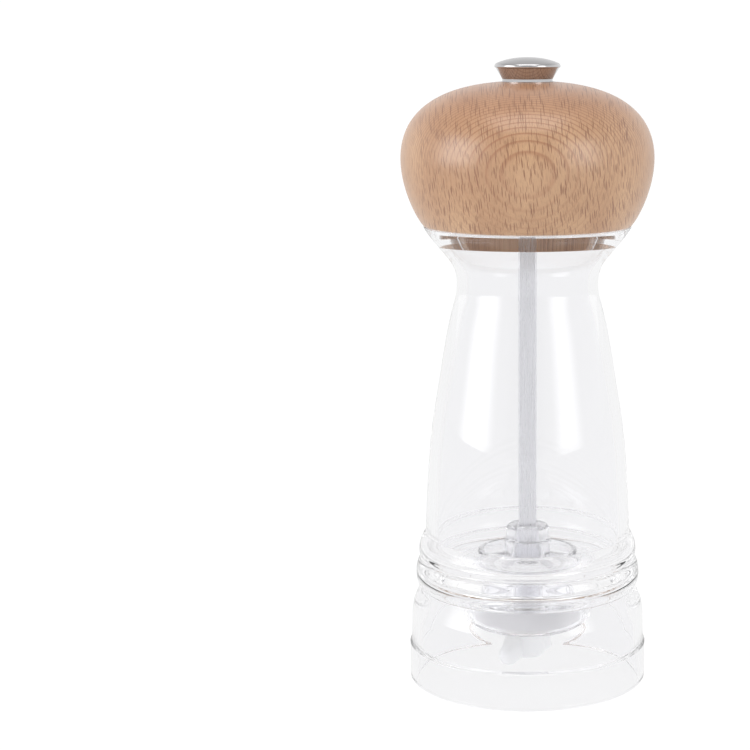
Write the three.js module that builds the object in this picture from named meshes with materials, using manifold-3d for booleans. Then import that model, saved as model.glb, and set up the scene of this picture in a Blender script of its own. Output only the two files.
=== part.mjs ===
// Pepper mill: turned beech head, one-piece clear body, square drive shaft and conical grinder.
// Millimetres, +Z up, origin at the centre of the ring that the mill stands on.
import * as THREE from 'three';
import { mergeVertices } from 'three/addons/utils/BufferGeometryUtils.js';
import Module from 'manifold-3d';

const wasm = await Module();
wasm.setup();

// Driving dimensions.
const GAP = 0.3; // clearance between pieces that touch
const MILL_HEIGHT = 174.4;
const BASE_RADIUS = 33.5;
const BAND_HEIGHT = 10.5; // wider band round the foot
const BAND_BORE = 31.2;
const RIM_HEIGHT = 128.6; // where the head sits on the body
const RIM_RADIUS = 28.8;
const MOUTH_RADIUS = 22;
const LIP_RADIUS = 24.2; // lip of the mouth, inside the head
const LIP_HEIGHT = 133.5;
const WAIST_RADIUS = 19.64;
const WAIST_HEIGHT = 113;
const WALL = 2.8;
const FLOOR_TOP = 34.5;
const FLOOR_BOTTOM = 30.2;
const FLOOR_HOLE = 14.4;
const WELL_BORE = 16.8; // round well under the floor, for the grinder
const WELL_RADIUS = 19;
const WELL_BOTTOM = 16;

const HEAD_RADIUS = 34.75;
const HEAD_WIDEST = 147;
const HEAD_TOP = 167.6;
const HEAD_HOLLOW_RADIUS = 21.6;
const HEAD_HOLLOW_TOP = 140;

const SHAFT_WIDTH = 5; // across the flats of the square bar
const SHAFT_CHAMFER = 0.7;
const SHAFT_TOP = 164;
const SHAFT_BOTTOM = 17.6;
const TOP_STUD_RADIUS = 2;
const TOP_STUD_END = 171.8;
const LOW_STUD_RADIUS = 1.4;
const LOW_STUD_END = 6.1;

const HUB_RADIUS = 6.6;
const HUB_BORE = 4.35;
const HUB_BOTTOM = 32.4;
const HUB_TOP = 39.9;
const ARM_COUNT = 3;
const CUP_RADIUS = 16.5;
const CUP_BORE = 15.1;
const CUP_BOTTOM = 15.6;

const STATOR_BOTTOM = 15.9;
const STATOR_TOP = 25.9;
const ROTOR_BOTTOM = 14.6;
const ROTOR_TOP = 24.2;
const ROTOR_RADIUS = 10.95;
const ROTOR_BORE = 4.2;
const RECESS_TOP = 15.9; // round recess in the rotor's underside
const RECESS_RADIUS = 7.4;
const STATOR_TEETH = 30;
const ROTOR_TEETH = 24;
const TOOTH_DEPTH = 0.7;

const SPRING_RADIUS = 3.75;
const SPRING_WIRE = 0.7;
const SPRING_TURNS = 4;
const SPRING_LOW = 26.1;
const SPRING_HIGH = 31.3;
const WASHER_BORE = 3.4; // spring washers
const INSERT_RADIUS = 2.2; // threaded bush of the butterfly nut
const HEAD_BORE = 3.7;
const PLATE_RADIUS = 12;
const PLATE_BOTTOM = 138.5;
const PLATE_TOP = 139.7;
const SCREW_COUNT = 3;
const SCREW_CIRCLE = 8.6;
const SCREW_RADIUS = 1.3;
const WASHER_RADIUS = 6.2;
const KNOB_RADIUS = 6.9; // its collar, just inside the counterbore of the head
const INSERT_SEAT = 3.9; // bore of the knob, round its threaded bush
const WING_REACH = 12.8; // butterfly nut, axis to wing tip
const WING_ANGLE = THREE.MathUtils.degToRad(56);

const TURN = Math.PI * 2;
const BODY_SEGMENTS = 32;
const SMALL_SEGMENTS = 24;
const SCREW_SEGMENTS = 12;
const CURVE_STEPS = 4;

const finishes = {
  acrylic: { color: 0xf2f3f6, roughness: 0.05, metalness: 0, transparent: true, opacity: 0.35 },
  beech: { color: 0xc8a07d, roughness: 0.45, metalness: 0 },
  aluminium: { color: 0xc9cacd, roughness: 0.35, metalness: 1 },
  polishedSteel: { color: 0xd2d0ce, roughness: 0.15, metalness: 1 },
  springSteel: { color: 0x4c4a49, roughness: 0.35, metalness: 1 },
  brass: { color: 0xc9a75a, roughness: 0.35, metalness: 1 },
  ceramic: { color: 0xeeeeec, roughness: 0.5, metalness: 0 },
  nylon: { color: 0xe9e9ea, roughness: 0.45, metalness: 0 },
};

const mill = new THREE.Group();

function add(name, geometry, finish) {
  const mesh = new THREE.Mesh(geometry, new THREE.MeshStandardMaterial(finishes[finish]));
  mesh.name = name;
  mill.add(mesh);
  return mesh;
}

// Turns an outline of [radius, height] about the Z axis. The outline runs anticlockwise.
function turned(outline, segments = SMALL_SEGMENTS, steps = CURVE_STEPS) {
  const geometry = new THREE.LatheGeometry(outline.getPoints(steps), segments);
  return geometry.rotateX(Math.PI / 2);
}

function outlineFrom(points) {
  const path = new THREE.Path();
  points.forEach(([r, z], i) => (i === 0 ? path.moveTo(r, z) : path.lineTo(r, z)));
  return path;
}

// A plain round ring or bush.
function ring(inner, outer, low, high, segments = SMALL_SEGMENTS) {
  const outline = outlineFrom([[inner, low], [outer, low], [outer, high], [inner, high]]);
  outline.closePath();
  return turned(outline, segments);
}

// A round bar, built up from [radius, height] steps.
function bar(steps, segments = SMALL_SEGMENTS) {
  const low = steps[0][1];
  const high = steps[steps.length - 1][1];
  return turned(outlineFrom([[0, low], ...steps, [0, high]]), segments);
}

// Square bar with chamfered corners, grown all round by a clearance.
function squareBar(low, high, clearance = 0) {
  const half = SHAFT_WIDTH / 2 + clearance;
  const flat = half - SHAFT_CHAMFER;
  const section = new THREE.Shape();
  section.moveTo(half, -flat);
  for (const [x, y] of [[half, flat], [flat, half], [-flat, half], [-half, flat],
    [-half, -flat], [-flat, -half], [flat, -half]]) section.lineTo(x, y);
  section.closePath();
  const geometry = new THREE.ExtrudeGeometry(section, { depth: high - low, bevelEnabled: false });
  return geometry.translate(0, 0, low);
}

function block(x, y, z, at, turn = 0) {
  return new THREE.BoxGeometry(x, y, z).translate(...at).rotateZ(turn);
}

// Geometry to a solid that can be cut and joined, and back again.
function solid(geometry) {
  const bare = geometry.clone();
  bare.deleteAttribute('normal');
  bare.deleteAttribute('uv');
  const merged = mergeVertices(bare, 1e-4);
  const corners = [];
  const index = merged.index.array;
  for (let i = 0; i < index.length; i += 3) {
    const [a, b, c] = [index[i], index[i + 1], index[i + 2]];
    if (a !== b && b !== c && c !== a) corners.push(a, b, c);
  }
  return new wasm.Manifold(new wasm.Mesh({
    numProp: 3,
    vertProperties: new Float32Array(merged.attributes.position.array),
    triVerts: new Uint32Array(corners),
  }));
}

function geometryOf(shape) {
  const mesh = shape.getMesh();
  const geometry = new THREE.BufferGeometry();
  geometry.setAttribute('position', new THREE.BufferAttribute(mesh.vertProperties, 3));
  geometry.setIndex(new THREE.BufferAttribute(mesh.triVerts, 1));
  geometry.computeVertexNormals();
  return geometry;
}

function joined(...geometries) {
  return geometryOf(geometries.map(solid).reduce((sum, next) => sum.add(next)));
}

function cut(geometry, ...tools) {
  return geometryOf(tools.map(solid).reduce((rest, tool) => rest.subtract(tool), solid(geometry)));
}

// Sinks every second column of a turned face by a depth, and turns the teeth as they rise.
function toothed(geometry, teeth, { isFace, depth, twist, start }) {
  const position = geometry.attributes.position;
  for (let i = 0; i < position.count; i += 1) {
    const [x, y, z] = [position.getX(i), position.getY(i), position.getZ(i)];
    const radius = Math.hypot(x, y);
    if (!isFace(radius, z)) continue;
    const angle = Math.atan2(y, x);
    const column = Math.round((angle / TURN) * teeth * 2);
    const newRadius = radius + (column % 2 === 0 ? 0 : depth);
    const newAngle = angle + twist * (z - start);
    position.setXY(i, newRadius * Math.cos(newAngle), newRadius * Math.sin(newAngle));
  }
  return geometry;
}

// Body.
function bodyShell() {
  const outline = new THREE.Path();
  outline.moveTo(BAND_BORE, 0);
  outline.lineTo(BASE_RADIUS - 0.8, 0);
  outline.quadraticCurveTo(BASE_RADIUS, 0, BASE_RADIUS, 0.8);
  outline.lineTo(BASE_RADIUS, BAND_HEIGHT - 0.3);
  outline.lineTo(BASE_RADIUS - 0.45, BAND_HEIGHT);
  outline.lineTo(32.85, 18.5);
  outline.bezierCurveTo(32.85, 21.6, 31.6, 24.4, 30.3, 26.7); // shoulder
  outline.bezierCurveTo(32.1, 27.5, 32, 34.4, 30, 35); // lower bead
  outline.bezierCurveTo(31.3, 35.9, 30.8, 40.5, 28.9, 42); // upper bead
  outline.bezierCurveTo(27.7, 71.7, 26.85, 72.3, 24, 90); // chamber
  outline.bezierCurveTo(20.9, 109.5, WAIST_RADIUS, 106.9, WAIST_RADIUS, WAIST_HEIGHT);
  outline.bezierCurveTo(WAIST_RADIUS, 119.7, 24.7, 121.4, RIM_RADIUS, RIM_HEIGHT); // flared rim
  outline.lineTo(LIP_RADIUS, RIM_HEIGHT);
  outline.lineTo(LIP_RADIUS, LIP_HEIGHT);
  outline.lineTo(MOUTH_RADIUS, LIP_HEIGHT);
  outline.lineTo(MOUTH_RADIUS, 125);
  outline.bezierCurveTo(19, 120.2, WAIST_RADIUS - WALL, 117.5, WAIST_RADIUS - WALL, WAIST_HEIGHT);
  outline.bezierCurveTo(WAIST_RADIUS - WALL, 106.9, 18.1, 109.3, 21.2, 90);
  outline.bezierCurveTo(24.05, 72.3, 24.9, 71.7, 26, 40.5);
  outline.quadraticCurveTo(26, FLOOR_TOP, 21.5, FLOOR_TOP);
  outline.lineTo(FLOOR_HOLE, FLOOR_TOP);
  outline.lineTo(FLOOR_HOLE, FLOOR_BOTTOM + 1.1);
  outline.lineTo(WELL_BORE, FLOOR_BOTTOM + 1.1);
  outline.lineTo(WELL_BORE, WELL_BOTTOM);
  outline.lineTo(WELL_RADIUS, WELL_BOTTOM);
  outline.lineTo(WELL_RADIUS, FLOOR_BOTTOM - 1.4);
  outline.quadraticCurveTo(WELL_RADIUS, FLOOR_BOTTOM, WELL_RADIUS + 1.4, FLOOR_BOTTOM);
  outline.lineTo(24.5, FLOOR_BOTTOM);
  outline.bezierCurveTo(27.6, FLOOR_BOTTOM, 29.4, 25.5, 29.9, 18.5);
  outline.lineTo(30.2, BAND_HEIGHT);
  outline.lineTo(BAND_BORE, BAND_HEIGHT - 1);
  outline.closePath();
  const notches = [1, -1].map((side) => block(4, 6.2, 4, [side * 18, 0, WELL_BOTTOM + 1.4]));
  return cut(turned(outline, BODY_SEGMENTS), ...notches);
}

// Clear cup that holds the stator, with the ring, arms and hub of the bridge on top.
function grinderHousing() {
  const ringTop = 36.6;
  const shoulder = FLOOR_BOTTOM + 1.1 - GAP;
  const outline = outlineFrom([
    [CUP_BORE, CUP_BOTTOM],
    [CUP_RADIUS, CUP_BOTTOM],
    [CUP_RADIUS, shoulder],
    [FLOOR_HOLE - GAP, shoulder],
    [FLOOR_HOLE - GAP, ringTop - 0.6],
  ]);
  outline.quadraticCurveTo(FLOOR_HOLE - GAP, ringTop, FLOOR_HOLE - GAP - 0.7, ringTop);
  outline.lineTo(12.7, ringTop);
  outline.lineTo(12.7, STATOR_TOP + GAP);
  outline.lineTo(CUP_BORE, STATOR_TOP + GAP);
  outline.closePath();
  const pieces = [turned(outline, BODY_SEGMENTS, 2), ring(HUB_BORE, HUB_RADIUS, HUB_BOTTOM, HUB_TOP)];
  for (let i = 0; i < ARM_COUNT; i += 1) {
    pieces.push(block(7.4, 3.2, 3.2, [9.6, 0, 34.4], Math.PI / 2 + (i * TURN) / ARM_COUNT));
  }
  for (const side of [1, -1]) pieces.push(block(1.9, 5, 2.4, [side * 17.2, 0, 17.3]));
  return joined(...pieces);
}

// The stator's face narrows to the grinding zone at the bottom and opens upwards to take the corns.
function stator() {
  const outside = CUP_BORE - GAP;
  const outline = outlineFrom([
    [11.9, STATOR_BOTTOM],
    [outside, STATOR_BOTTOM],
    [outside, STATOR_TOP],
    [12.2, STATOR_TOP],
    [10.8, 21],
    [10.6, 19.1],
  ]);
  outline.closePath();
  return toothed(turned(outline, STATOR_TEETH * 2), STATOR_TEETH, {
    isFace: (radius) => radius < 12.5,
    depth: TOOTH_DEPTH,
    twist: THREE.MathUtils.degToRad(1.5),
    start: STATOR_BOTTOM,
  });
}

function rotor() {
  const outline = outlineFrom([
    [ROTOR_BORE, RECESS_TOP],
    [RECESS_RADIUS, RECESS_TOP],
    [RECESS_RADIUS, ROTOR_BOTTOM],
    [ROTOR_RADIUS, ROTOR_BOTTOM],
    [ROTOR_RADIUS, STATOR_BOTTOM],
    [9.65, 19.1],
    [8, 21.6],
    [6.3, ROTOR_TOP],
    [ROTOR_BORE, ROTOR_TOP],
  ]);
  outline.closePath();
  return toothed(turned(outline, ROTOR_TEETH * 2), ROTOR_TEETH, {
    isFace: (radius, z) => radius > (z < 17 ? RECESS_RADIUS + 1 : ROTOR_BORE + 1),
    depth: -TOOTH_DEPTH,
    twist: THREE.MathUtils.degToRad(4),
    start: ROTOR_BOTTOM,
  });
}

// Shaft and what turns with it.
function spindleRod() {
  const overlap = 1; // how far each stud runs into the square bar
  return joined(
    squareBar(SHAFT_BOTTOM, SHAFT_TOP),
    bar([[TOP_STUD_RADIUS, SHAFT_TOP - overlap], [TOP_STUD_RADIUS, TOP_STUD_END]]),
    bar([[LOW_STUD_RADIUS - 0.4, LOW_STUD_END], [LOW_STUD_RADIUS, LOW_STUD_END + 0.4],
      [LOW_STUD_RADIUS, SHAFT_BOTTOM + overlap]]),
  );
}

function guideSleeve() {
  const bottom = HUB_BOTTOM + 0.5;
  const flange = HUB_TOP + GAP;
  const blank = bar([[4, bottom], [4, flange], [6, flange], [6, 43.3], [5.3, 44]]);
  return cut(blank, squareBar(bottom - 1, 45, GAP));
}

// Compression spring: a round wire wound round the shaft.
class Helix extends THREE.Curve {
  constructor(radius, low, high, turns) {
    super();
    Object.assign(this, { radius, low, high, turns });
  }

  getPoint(t, target = new THREE.Vector3()) {
    const angle = t * this.turns * TURN;
    const z = THREE.MathUtils.lerp(this.low, this.high, t);
    return target.set(this.radius * Math.cos(angle), this.radius * Math.sin(angle), z);
  }
}

function spring() {
  const seat = SPRING_WIRE / 2;
  const path = new Helix(SPRING_RADIUS, SPRING_LOW + seat, SPRING_HIGH - seat, SPRING_TURNS);
  const section = new THREE.Shape();
  const sides = 6;
  for (let i = 0; i < sides; i += 1) {
    const angle = (i * TURN) / sides;
    const [x, y] = [seat * Math.cos(angle), seat * Math.sin(angle)];
    if (i === 0) section.moveTo(x, y);
    else section.lineTo(x, y);
  }
  section.closePath();
  return new THREE.ExtrudeGeometry(section, { steps: SPRING_TURNS * 14, extrudePath: path });
}

// Square-holed bush: its tube fills the rotor's bore and its flange carries the spring.
function rotorCarrier() {
  const flange = ROTOR_TOP + GAP;
  const blank = bar([[3.9, RECESS_TOP], [3.9, flange], [4.9, flange], [4.9, SPRING_LOW - 1]]);
  return cut(blank, squareBar(RECESS_TOP - 1, 26, GAP));
}

// Butterfly nut: a tapered hub with two fat wings.
function adjusterKnob() {
  const low = 6;
  const high = RECESS_TOP - 0.35;
  const hub = bar([[3.9, low], [4.5, low + 0.6], [5.2, 11], [6.5, 14.4], [6.5, high]]);
  const wings = [0, Math.PI].map((side) => {
    const wing = new THREE.SphereGeometry(1, 14, 8).rotateX(Math.PI / 2);
    wing.scale(4.6, 2.3, 3.9).rotateY(THREE.MathUtils.degToRad(12));
    return wing.translate(WING_REACH - 4.6, 0, 8.9).rotateZ(WING_ANGLE + side);
  });
  const insertSpace = bar([[INSERT_RADIUS + GAP, low - 1], [INSERT_RADIUS + GAP, high + 1]]);
  return cut(joined(hub, ...wings), insertSpace);
}

// Head.
function woodHead() {
  const outline = new THREE.Path();
  outline.moveTo(28.7, RIM_HEIGHT + GAP);
  outline.bezierCurveTo(31, 131.5, HEAD_RADIUS, 139.5, HEAD_RADIUS, HEAD_WIDEST);
  outline.bezierCurveTo(HEAD_RADIUS, 160.7, 23.1, 166.7, 7.6, HEAD_TOP + 0.2);
  outline.lineTo(KNOB_RADIUS + GAP, HEAD_TOP);
  outline.lineTo(KNOB_RADIUS + GAP, HEAD_TOP - 1.5);
  outline.lineTo(HEAD_BORE, HEAD_TOP - 1.5);
  outline.lineTo(HEAD_BORE, HEAD_HOLLOW_TOP);
  outline.lineTo(HEAD_HOLLOW_RADIUS, HEAD_HOLLOW_TOP);
  outline.lineTo(HEAD_HOLLOW_RADIUS, LIP_HEIGHT + 0.5);
  outline.lineTo(LIP_RADIUS + 0.4, LIP_HEIGHT + 0.5);
  outline.lineTo(LIP_RADIUS + 0.4, RIM_HEIGHT + GAP);
  outline.closePath();
  const pilots = screwPlaces().map(([x, y]) => bar([
    [SCREW_RADIUS + GAP, HEAD_HOLLOW_TOP - 1],
    [SCREW_RADIUS + GAP, HEAD_HOLLOW_TOP + 6.6],
  ], SCREW_SEGMENTS).translate(x, y, 0));
  return cut(turned(outline, BODY_SEGMENTS, 6), ...pilots);
}

function screwPlaces() {
  return Array.from({ length: SCREW_COUNT }, (_, i) => {
    const angle = Math.PI / 6 + (i * TURN) / SCREW_COUNT;
    return [SCREW_CIRCLE * Math.cos(angle), SCREW_CIRCLE * Math.sin(angle)];
  });
}

function drivePlate() {
  const blank = bar([[PLATE_RADIUS, PLATE_BOTTOM], [PLATE_RADIUS, PLATE_TOP]]);
  const holes = screwPlaces().map(([x, y]) => bar([
    [SCREW_RADIUS + GAP, PLATE_BOTTOM - 1],
    [SCREW_RADIUS + GAP, PLATE_TOP + 1],
  ], SCREW_SEGMENTS).translate(x, y, 0));
  return cut(blank, squareBar(PLATE_BOTTOM - 1, PLATE_TOP + 1, GAP), ...holes);
}

function plateScrew([x, y]) {
  const headTop = PLATE_BOTTOM - GAP;
  const tip = HEAD_HOLLOW_TOP + 6;
  return bar([
    [1.5, headTop - 1.1],
    [2.4, headTop - 0.5],
    [2.4, headTop],
    [SCREW_RADIUS, headTop],
    [SCREW_RADIUS, tip - 1.6],
    [0.3, tip],
  ], SCREW_SEGMENTS).translate(x, y, 0);
}

function topKnob() {
  const collar = HEAD_TOP - 0.1;
  const cavity = MILL_HEIGHT - 2;
  const outline = outlineFrom([
    [0, cavity],
    [INSERT_SEAT, cavity],
    [INSERT_SEAT, collar],
    [KNOB_RADIUS - 0.2, collar],
    [KNOB_RADIUS, collar + 0.2],
    [KNOB_RADIUS, 168.6],
    [8.6, 171.5],
  ]);
  outline.bezierCurveTo(9.15, 171.7, 9.2, 172.3, 8.6, 172.75);
  outline.bezierCurveTo(6.4, 173.8, 3.4, MILL_HEIGHT, 0, MILL_HEIGHT);
  return turned(outline);
}

add('body_shell', bodyShell(), 'acrylic');
add('grinder_housing', grinderHousing(), 'acrylic');
add('stator', stator(), 'ceramic');

add('spindle_rod', spindleRod(), 'aluminium');
add('guide_sleeve', guideSleeve(), 'acrylic');
add('upper_spring_washer', ring(WASHER_BORE, 5.4, SPRING_HIGH + GAP, HUB_BOTTOM - GAP), 'polishedSteel');
add('spring', spring(), 'springSteel');

add('rotor', rotor(), 'ceramic');
add('rotor_carrier', rotorCarrier(), 'nylon');
add('lower_spring_washer', ring(WASHER_BORE, 4.9, SPRING_LOW - 0.7, SPRING_LOW - GAP), 'polishedSteel');
add('adjuster_knob', adjusterKnob(), 'nylon');
add('adjuster_insert', ring(LOW_STUD_RADIUS + GAP, INSERT_RADIUS, 6.2, 15.4), 'polishedSteel');

add('wood_head', woodHead(), 'beech');
add('drive_plate', drivePlate(), 'polishedSteel');
screwPlaces().forEach((place, i) => add(`plate_screw_${i + 1}`, plateScrew(place), 'polishedSteel'));
add('knob_washer', ring(2.4, WASHER_RADIUS, HEAD_TOP - 1.2, HEAD_TOP - 0.4), 'nylon');
add('top_knob', topKnob(), 'polishedSteel');
add('knob_insert', ring(TOP_STUD_RADIUS + GAP, INSERT_SEAT - GAP, 168, 172.1), 'brass');

export default mill;
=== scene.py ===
import math

import bpy
import bmesh
from mathutils import Euler, Matrix, Vector


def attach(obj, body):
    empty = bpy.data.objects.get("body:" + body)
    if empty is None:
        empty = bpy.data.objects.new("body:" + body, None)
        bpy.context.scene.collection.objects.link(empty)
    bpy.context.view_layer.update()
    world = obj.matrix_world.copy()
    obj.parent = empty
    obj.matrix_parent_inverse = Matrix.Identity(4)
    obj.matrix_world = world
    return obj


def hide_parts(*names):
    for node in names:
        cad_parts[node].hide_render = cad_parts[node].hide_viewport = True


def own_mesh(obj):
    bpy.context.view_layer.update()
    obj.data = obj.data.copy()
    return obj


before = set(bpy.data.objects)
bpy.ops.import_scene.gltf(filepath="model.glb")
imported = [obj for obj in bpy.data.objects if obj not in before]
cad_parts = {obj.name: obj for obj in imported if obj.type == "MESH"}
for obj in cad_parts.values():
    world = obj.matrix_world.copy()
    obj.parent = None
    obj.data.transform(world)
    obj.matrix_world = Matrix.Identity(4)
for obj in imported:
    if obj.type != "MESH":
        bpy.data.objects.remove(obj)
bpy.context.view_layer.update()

mm = 0.001
turn = math.pi * 2
scene = bpy.context.scene
print("frame loaded, nodes:", len(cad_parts))


# ---- node helpers

def addNode(tree, kind, inputs=None, **settings):
    node = tree.nodes.new(kind)
    for key, value in settings.items():
        setattr(node, key, value)
    for key, value in (inputs or {}).items():
        if isinstance(value, bpy.types.NodeSocket):
            tree.links.new(value, node.inputs[key])
        else:
            node.inputs[key].default_value = value
    return node


def mathNode(tree, operation, a, b=0.0, clamp=False):
    node = addNode(tree, "ShaderNodeMath", {0: a, 1: b}, operation=operation, use_clamp=clamp)
    return node.outputs[0]


def mapRange(tree, value, fromLow, fromHigh, toLow=0.0, toHigh=1.0, smooth=False):
    inputs = {"Value": value, "From Min": fromLow, "From Max": fromHigh, "To Min": toLow, "To Max": toHigh}
    style = "SMOOTHSTEP" if smooth else "LINEAR"
    return addNode(tree, "ShaderNodeMapRange", inputs, interpolation_type=style).outputs["Result"]


def mixColour(tree, factor, a, b, blend="MIX"):
    node = addNode(tree, "ShaderNodeMix", data_type="RGBA", blend_type=blend)
    for socket, value in zip((node.inputs[0], node.inputs[6], node.inputs[7]), (factor, a, b)):
        if isinstance(value, bpy.types.NodeSocket):
            tree.links.new(value, socket)
        else:
            socket.default_value = value
    return node.outputs[2]


def newGroup(name, inputs, outputs):
    tree = bpy.data.node_groups.new(name, "ShaderNodeTree")
    for label, kind, value in inputs:
        socket = tree.interface.new_socket(name=label, in_out="INPUT", socket_type=kind)
        if value is not None:
            socket.default_value = value
    for label, kind in outputs:
        tree.interface.new_socket(name=label, in_out="OUTPUT", socket_type=kind)
    return tree, tree.nodes.new("NodeGroupInput"), tree.nodes.new("NodeGroupOutput")


def placeGroup(tree, group, **inputs):
    node = tree.nodes.new("ShaderNodeGroup")
    node.node_tree = group
    for label, value in inputs.items():
        socket = node.inputs[label]
        if isinstance(value, bpy.types.NodeSocket):
            tree.links.new(value, socket)
        else:
            socket.default_value = value
    return node


# millimetre coordinates, stretched for the pattern that reads them
def stretched(tree, point, scale):
    inputs = {"Vector": point, "Scale": [s / mm for s in scale]}
    return addNode(tree, "ShaderNodeMapping", inputs).outputs["Vector"]


# ---- shader groups that several finishes share

# fine lines that a brush or a drawing die leaves, along or round Z
def brushGroup():
    tree, given, out = newGroup("fineBrush", [
        ("Point", "NodeSocketVector", None),
        ("Round", "NodeSocketFloat", 0.0),
        ("Fineness", "NodeSocketFloat", 9.0),
        ("Strength", "NodeSocketFloat", 0.5),
        ("Base Roughness", "NodeSocketFloat", 0.3),
    ], [("Roughness", "NodeSocketFloat"), ("Shade", "NodeSocketFloat"), ("Normal", "NodeSocketVector")])
    point = given.outputs["Point"]
    split = addNode(tree, "ShaderNodeSeparateXYZ", {0: point})
    flat = addNode(tree, "ShaderNodeCombineXYZ", {"X": split.outputs["X"], "Y": split.outputs["Y"]})
    radius = addNode(tree, "ShaderNodeVectorMath", {0: flat.outputs[0]}, operation="LENGTH").outputs["Value"]
    ringPoint = addNode(tree, "ShaderNodeCombineXYZ", {"X": radius})
    linePoint = addNode(tree, "ShaderNodeVectorMath", {0: point, 1: (1, 1, 0.02)}, operation="MULTIPLY")
    chosen = addNode(tree, "ShaderNodeMix", {0: given.outputs["Round"]}, data_type="VECTOR")
    tree.links.new(linePoint.outputs[0], chosen.inputs[4])
    tree.links.new(ringPoint.outputs[0], chosen.inputs[5])
    scale = mathNode(tree, "MULTIPLY", given.outputs["Fineness"], 1 / mm)
    noise = addNode(tree, "ShaderNodeTexNoise", {
        "Vector": chosen.outputs[1], "Scale": scale, "Detail": 3.0, "Roughness": 0.65})
    lines = mathNode(tree, "SUBTRACT", noise.outputs["Fac"], 0.5)
    change = mathNode(tree, "MULTIPLY", lines, given.outputs["Strength"])
    rough = mathNode(tree, "ADD", given.outputs["Base Roughness"], change, clamp=True)
    shade = mathNode(tree, "ADD", mathNode(tree, "MULTIPLY", change, 0.6), 1.0)
    bump = addNode(tree, "ShaderNodeBump", {
        "Strength": given.outputs["Strength"], "Distance": 0.02 * mm, "Height": noise.outputs["Fac"]})
    tree.links.new(rough, out.inputs["Roughness"])
    tree.links.new(shade, out.inputs["Shade"])
    tree.links.new(bump.outputs["Normal"], out.inputs["Normal"])
    return tree


# slow waviness and faint haze of a moulded or fired surface
def mouldGroup():
    tree, given, out = newGroup("mouldedSurface", [
        ("Point", "NodeSocketVector", None),
        ("Wave Size", "NodeSocketFloat", 9.0),
        ("Wave Height", "NodeSocketFloat", 0.02),
        ("Grain Size", "NodeSocketFloat", 0.3),
        ("Base Roughness", "NodeSocketFloat", 0.3),
        ("Haze", "NodeSocketFloat", 0.1),
    ], [("Roughness", "NodeSocketFloat"), ("Mask", "NodeSocketFloat"), ("Normal", "NodeSocketVector")])
    point = given.outputs["Point"]
    waveScale = mathNode(tree, "DIVIDE", 1 / mm, given.outputs["Wave Size"])
    grainScale = mathNode(tree, "DIVIDE", 1 / mm, given.outputs["Grain Size"])
    wave = addNode(tree, "ShaderNodeTexNoise", {"Vector": point, "Scale": waveScale, "Detail": 1.0})
    grain = addNode(tree, "ShaderNodeTexNoise", {"Vector": point, "Scale": grainScale, "Detail": 2.0})
    haze = mathNode(tree, "MULTIPLY", mathNode(tree, "SUBTRACT", grain.outputs["Fac"], 0.5),
                    given.outputs["Haze"])
    rough = mathNode(tree, "ADD", given.outputs["Base Roughness"], haze, clamp=True)
    height = mathNode(tree, "MULTIPLY", wave.outputs["Fac"], given.outputs["Wave Height"])
    fine = mathNode(tree, "MULTIPLY", haze, 0.01)
    bump = addNode(tree, "ShaderNodeBump", {
        "Strength": 1.0, "Distance": mm, "Height": mathNode(tree, "ADD", height, fine)})
    tree.links.new(rough, out.inputs["Roughness"])
    tree.links.new(grain.outputs["Fac"], out.inputs["Mask"])
    tree.links.new(bump.outputs["Normal"], out.inputs["Normal"])
    return tree


fineBrush = brushGroup()
mouldedSurface = mouldGroup()


# ---- finishes

def newMaterial(name, colour):
    material = bpy.data.materials.new(name)
    material.use_nodes = True
    material.diffuse_color = colour
    tree = material.node_tree
    shader = tree.nodes["Principled BSDF"]
    shader.inputs["Base Color"].default_value = colour
    point = addNode(tree, "ShaderNodeTexCoord").outputs["Object"]
    return material, tree, shader, point


def clearMaterial(name, tint, roughness, wave, ior=1.49, clear=1.0):
    material, tree, shader, point = newMaterial(name, tint)
    shader.inputs["Transmission Weight"].default_value = clear
    shader.inputs["IOR"].default_value = ior
    surface = placeGroup(tree, mouldedSurface, **{
        "Point": point, "Wave Size": 14.0, "Wave Height": wave,
        "Grain Size": 2.5, "Base Roughness": roughness, "Haze": roughness * 0.6})
    tree.links.new(surface.outputs["Roughness"], shader.inputs["Roughness"])
    tree.links.new(surface.outputs["Normal"], shader.inputs["Normal"])
    # lamps shine through, so what stands inside is lit
    shadow = addNode(tree, "ShaderNodeLightPath").outputs["Is Shadow Ray"]
    through = addNode(tree, "ShaderNodeBsdfTransparent", {"Color": (0.93, 0.93, 0.94, 1)})
    mixed = addNode(tree, "ShaderNodeMixShader", {0: shadow, 1: shader.outputs[0], 2: through.outputs[0]})
    tree.links.new(mixed.outputs[0], tree.nodes["Material Output"].inputs["Surface"])
    return material


def mouldedMaterial(name, colour, shade, roughness, grainSize, coat=0.0):
    material, tree, shader, point = newMaterial(name, colour)
    surface = placeGroup(tree, mouldedSurface, **{
        "Point": point, "Wave Size": 5.0, "Wave Height": 0.015,
        "Grain Size": grainSize, "Base Roughness": roughness, "Haze": 0.18})
    mask = mapRange(tree, surface.outputs["Mask"], 0.3, 0.7)
    tree.links.new(mixColour(tree, mask, shade, colour), shader.inputs["Base Color"])
    tree.links.new(surface.outputs["Roughness"], shader.inputs["Roughness"])
    tree.links.new(surface.outputs["Normal"], shader.inputs["Normal"])
    shader.inputs["Coat Weight"].default_value = coat
    shader.inputs["Subsurface Weight"].default_value = 0.08
    shader.inputs["Subsurface Radius"].default_value = (0.002, 0.002, 0.002)
    return material


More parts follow.
